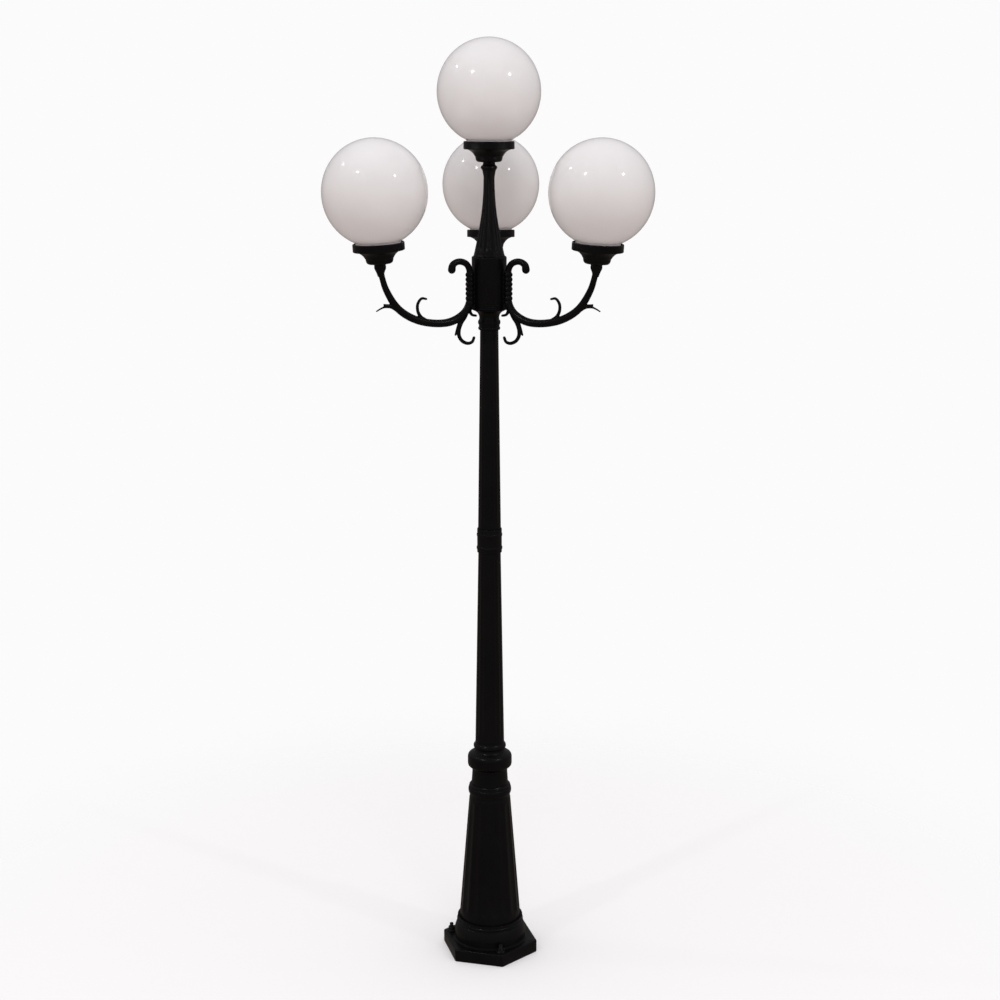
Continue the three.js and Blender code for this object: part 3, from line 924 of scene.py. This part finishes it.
def globe_profile(depth):
    """From the top of a globe round to its neck, at a depth under its outer face."""
    radius, half_height = GLOBE_RADIUS - depth, GLOBE_HALF_HEIGHT - depth
    span = math.pi / 2 + math.acos(NECK / GLOBE_RADIUS)
    profile = [(0, GLOBE_CENTRE + half_height)]
    for k in range(1, GLOBE_BANDS + 1):
        rise = math.pi / 2 - span * k / GLOBE_BANDS
        profile.append((radius * math.cos(rise), GLOBE_CENTRE + half_height * math.sin(rise)))
    return profile


def globe(i):
    """A blown shell with a straight neck that runs down inside the fitter's rim."""
    neck = [
        (NECK, 60), (NECK, 58), (NECK, 56), (NECK, 43), (NECK - 0.8, 42.1),
        (NECK_BORE + 0.8, 42.1), (NECK_BORE, 43),
    ]
    bm = revolved(globe_profile(0) + neck + globe_profile(GLOBE_WALL)[::-1], even(112))
    name = f"globe_{i}_shell"
    piece(name, finished(bm, name), OPAL, "opal_globes", f"globe_{i}", f"globe_{i}",
          place=lamp_frame(i))


def pinch_screws(i):
    """Three socket grub screws, flush in the fitter's rim."""
    bm = bmesh.new()
    head = [(0, -6), (2.6, -6), (2.6, -0.2), (2.2, 0.2), (1.4, 0.2), (1.3, -0.9), (0, -0.9)]
    seat = Matrix.Translation(((RIM - 0.3) * MM, 0, SCREW_HEIGHT * MM))
    for k in range(3):
        turn = Matrix.Rotation(math.radians(30 + 120 * k), 4, "Z")
        outwards = seat @ Matrix.Rotation(math.pi / 2, 4, "Y")
        add_turned(bm, head, even(24), place=turn @ outwards)
    name = f"pinch_screws_{i}"
    piece(name, finished(bm, name), PAINTED_STEEL, "zinc_steel", POST, place=lamp_frame(i))


base_casting()
base_webs()
neck_collar()
lower_shaft()
shaft_coupling()
upper_shaft()
head_collar()
hub()
top_stem()
for number in (1, 2, 3):
    anchor_bolt(number)
    anchor_nut(number)
arms()
for number in (1, 2, 3, 4):
    fitter(number)
    globe(number)
    pinch_screws(number)

# ---- floor and light ----

BACKDROP = (0.965, 0.965, 0.965)
ABOVE = (0.88, 0.86, 0.885)
BELOW = (0.61, 0.515, 0.47)
HORIZON = 0.12  # half the height over which the one turns into the other
REFLECTED = 0.22  # share of the room's light that shows in reflections, as in a large dim hall
FLOOR_HALF = 4  # this and the sizes below are in metres
FLOOR_SOLID = 0.7  # radius within which the floor is whole
FLOOR_GONE = 2.6  # radius outside which only the backdrop is seen
FLOOR_LIFT = 0.13
LAMPS = Vector((0, 0, 2.35))  # the middle of the globes
SPOT_AWAY = 7
SPOT_SIZE = 0.22
SPOTS = {
    "ceiling_left": ((-0.777, 0.102, 0.616), 16),
    "ceiling_front": ((-0.52, -0.566, 0.637), 34),
    "ceiling_right": ((0.67, -0.493, 0.555), 32),
}


def make_world():
    """An even backdrop, lit by a pale ceiling over a warmer ground, and dim in reflections."""
    world = bpy.data.worlds.new("studio")
    world.use_nodes = True
    nodes, links = world.node_tree.nodes, world.node_tree.links
    split = nodes.new("ShaderNodeSeparateXYZ")
    links.new(nodes.new("ShaderNodeTexCoord").outputs["Generated"], split.inputs["Vector"])
    height = add_node(nodes, "ShaderNodeMapRange", From_Min=-HORIZON, From_Max=HORIZON)
    links.new(split.outputs["Z"], height.inputs["Value"])
    room = nodes.new("ShaderNodeMix")
    room.data_type = "RGBA"
    room.inputs["A"].default_value = (*BELOW, 1)
    room.inputs["B"].default_value = (*ABOVE, 1)
    links.new(height.outputs["Result"], room.inputs["Factor"])
    seen = nodes.new("ShaderNodeMix")
    seen.data_type = "RGBA"
    seen.inputs["B"].default_value = (*BACKDROP, 1)
    links.new(room.outputs["Result"], seen.inputs["A"])
    path = nodes.new("ShaderNodeLightPath")
    links.new(path.outputs["Is Camera Ray"], seen.inputs["Factor"])
    links.new(seen.outputs["Result"], nodes["Background"].inputs["Color"])
    strength = add_node(nodes, "ShaderNodeMapRange", To_Min=1, To_Max=REFLECTED)
    links.new(path.outputs["Is Glossy Ray"], strength.inputs["Value"])
    links.new(strength.outputs["Result"], nodes["Background"].inputs["Strength"])
    bpy.context.scene.world = world


def floor_material():
    """Matt and pale, lifted a little where the camera sees it, and fading out with distance."""
    shader = Shader("pale_floor", Specular_IOR_Level=0.0, Roughness=1.0)
    nodes, links = shader.nodes, shader.links
    shader.surface.inputs["Base Color"].default_value = (0.80, 0.79, 0.78, 1)
    shader.surface.inputs["Emission Color"].default_value = (1, 1, 1, 1)
    lift = nodes.new("ShaderNodeMath")
    lift.operation = "MULTIPLY"
    lift.inputs[1].default_value = FLOOR_LIFT
    links.new(nodes.new("ShaderNodeLightPath").outputs["Is Camera Ray"], lift.inputs[0])
    links.new(lift.outputs["Value"], shader.surface.inputs["Emission Strength"])
    reach = nodes.new("ShaderNodeVectorMath")
    reach.operation = "LENGTH"
    links.new(shader.coordinates, reach.inputs[0])
    fade = add_node(
        nodes, "ShaderNodeMapRange", From_Min=FLOOR_SOLID, From_Max=FLOOR_GONE, To_Min=1, To_Max=0
    )
    fade.interpolation_type = "SMOOTHERSTEP"
    links.new(reach.outputs["Value"], fade.inputs["Value"])
    mix = nodes.new("ShaderNodeMixShader")
    links.new(fade.outputs["Result"], mix.inputs["Fac"])
    links.new(nodes.new("ShaderNodeBsdfTransparent").outputs["BSDF"], mix.inputs[1])
    links.new(shader.surface.outputs["BSDF"], mix.inputs[2])
    links.new(mix.outputs["Shader"], nodes["Material Output"].inputs["Surface"])
    return shader.material


def make_floor():
    """A pale floor round the foot, which fades into the backdrop."""
    bm = bmesh.new()
    bmesh.ops.create_grid(bm, x_segments=2, y_segments=2, size=FLOOR_HALF)
    mesh = bpy.data.meshes.new("floor")
    bm.to_mesh(mesh)
    bm.free()
    mesh.materials.append(floor_material())
    floor = bpy.data.objects.new("floor", mesh)
    bpy.context.scene.collection.objects.link(floor)
    floor.visible_glossy = False


def make_light(name, place, aim, width, height, power):
    data = bpy.data.lights.new(name, "AREA")
    data.shape = "RECTANGLE"
    data.size, data.size_y = width, height
    data.energy = power
    light = bpy.data.objects.new(name, data)
    light.location = place
    light.rotation_euler = (Vector(aim) - Vector(place)).to_track_quat("-Z", "Y").to_euler()
    light.visible_camera = False
    bpy.context.scene.collection.objects.link(light)
    return light


def make_lights():
    """A softbox overhead, and small far ceiling lamps that show as points in the globes."""
    softbox = make_light("softbox", (0.5, -3.6, 6.6), (0, 0, 1.9), 2.4, 1.6, 60)
    softbox.visible_glossy = False
    for name, (direction, power) in SPOTS.items():
        place = LAMPS + Vector(direction) * SPOT_AWAY
        make_light(name, place, LAMPS, SPOT_SIZE, SPOT_SIZE, power)


make_floor()
make_world()
make_lights()
bpy.context.scene.view_settings.view_transform = "Standard"
